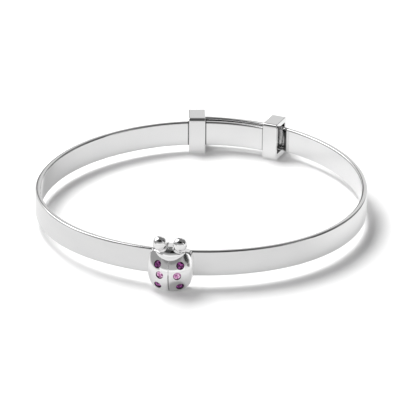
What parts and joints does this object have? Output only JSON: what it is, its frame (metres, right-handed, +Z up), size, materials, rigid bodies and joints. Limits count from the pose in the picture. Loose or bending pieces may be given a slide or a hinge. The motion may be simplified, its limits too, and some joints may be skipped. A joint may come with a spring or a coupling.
{
  "type": "expandable bangle",
  "caption": "Child's expandable bangle: a sprung flat silver strip whose ends slide in box keepers at the back, with a cast ladybird set with small round stones.",
  "frame": {"origin": "middle of the wrist opening, on the floor that the bangle lies on", "axes": "+Z up, close to the wrist axis; the ladybird faces -Y; the overlap and its keepers are at +Y"},
  "size_m": [0.0506, 0.0553, 0.0085],
  "materials": {
    "silver": "polished sterling silver",
    "purple_stone": "deep purple cut stone, polished",
    "pink_stone": "light pink cut stone, polished"
  },
  "bodies": {
    "root": {"bangle": "silver", "upper_left_stone": "purple_stone", "upper_right_stone": "purple_stone", "middle_left_stone": "pink_stone", "middle_right_stone": "pink_stone", "lower_left_stone": "purple_stone", "lower_right_stone": "purple_stone"}
  },
  "joints": []
}
